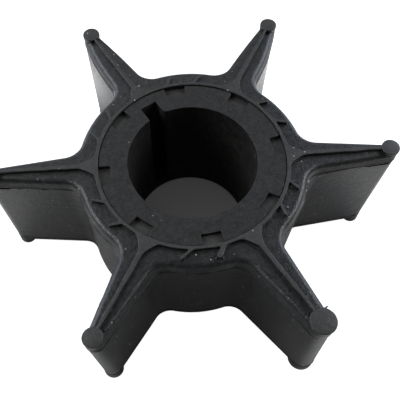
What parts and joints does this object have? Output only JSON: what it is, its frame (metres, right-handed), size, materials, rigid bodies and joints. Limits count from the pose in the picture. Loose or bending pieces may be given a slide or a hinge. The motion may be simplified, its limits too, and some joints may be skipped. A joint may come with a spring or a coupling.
{
  "type": "rubber pump impeller",
  "caption": "Flexible star-shaped pump impeller: a moulded rubber body with straight beaded vanes and raised face ridges, bonded round a hard hub insert with a keyed shaft bore.",
  "frame": {"origin": "on the shaft axis, in the plane that the lower face's ridges and vane ends rest on", "axes": "+Z along the shaft axis, towards the face in which the keyway is open; +X along one of the straight vanes, with the thickest vane 60 degrees clockwise from it seen from above"},
  "size_m": [0.0708, 0.0626, 0.025],
  "materials": {
    "rubber": "satin, moulded",
    "hub": "matte, moulded"
  },
  "bodies": {
    "root": {"vane_body": "rubber", "hub_insert": "hub"}
  },
  "joints": []
}
